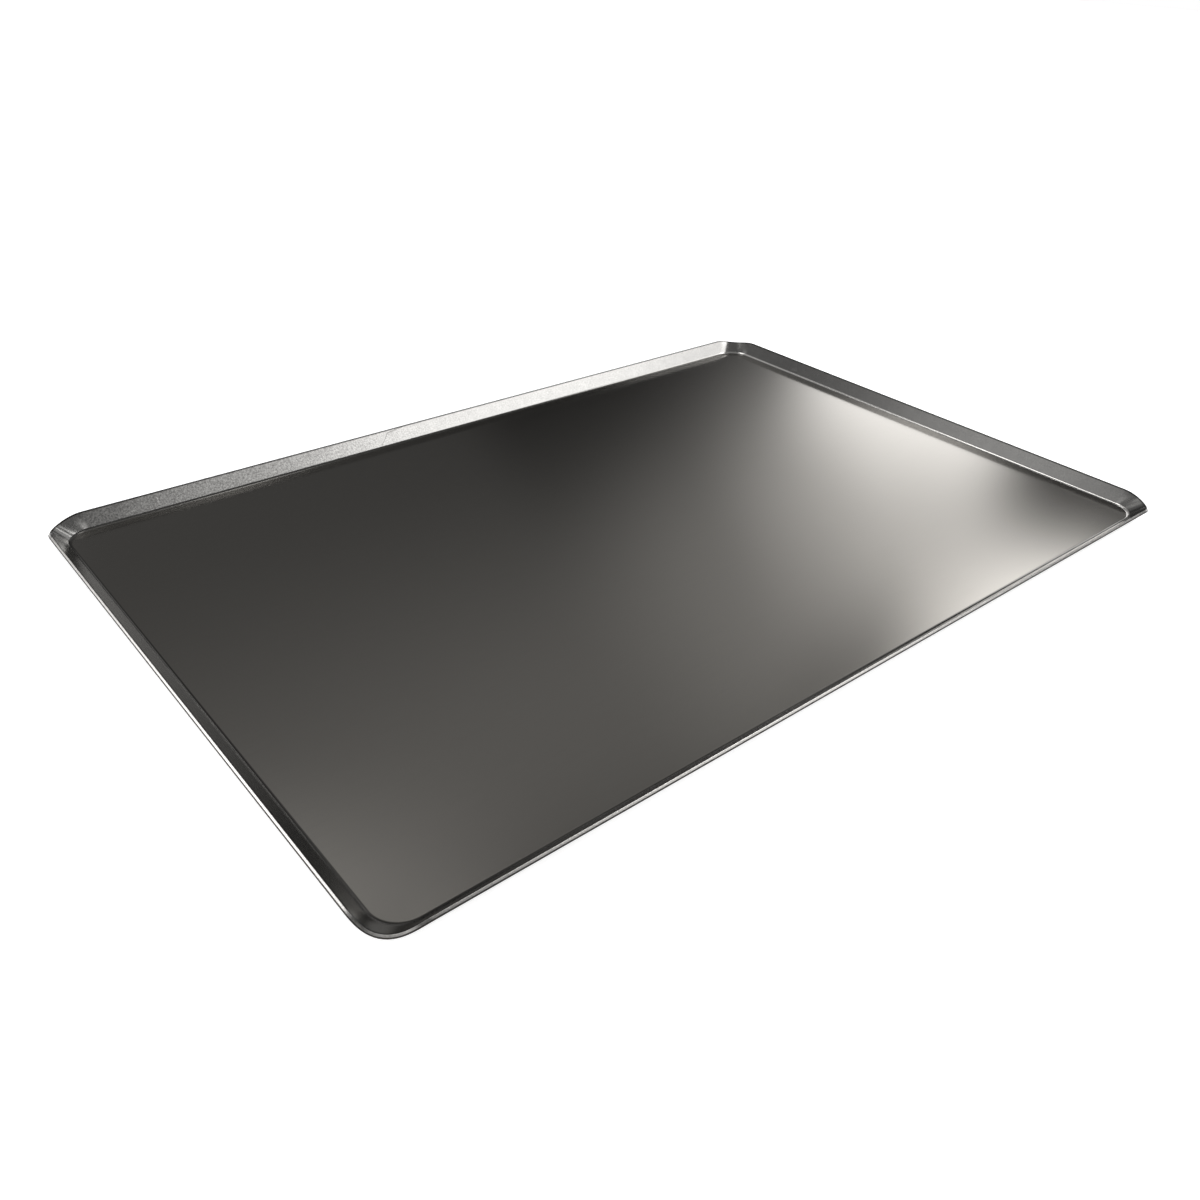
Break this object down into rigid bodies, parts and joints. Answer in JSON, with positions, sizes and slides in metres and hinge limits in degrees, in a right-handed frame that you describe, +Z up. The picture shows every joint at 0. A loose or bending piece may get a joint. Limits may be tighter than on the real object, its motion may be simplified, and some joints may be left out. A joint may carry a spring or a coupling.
{
  "type": "baking sheet",
  "caption": "Flat rectangular baking sheet of pressed steel with a low rim that leans outwards all round, rounded corners and a plain cut edge.",
  "frame": {"origin": "middle of the flat underside, the face that the sheet rests on", "axes": "+X along the length, +Y across the width, +Z up out of the tray"},
  "size_m": [0.6, 0.4, 0.011],
  "materials": {
    "steel": "bare rolled sheet steel, dark grey, satin to semi-gloss, with a sheared bright edge"
  },
  "bodies": {
    "root": {"pressed_sheet": "steel"}
  },
  "joints": []
}
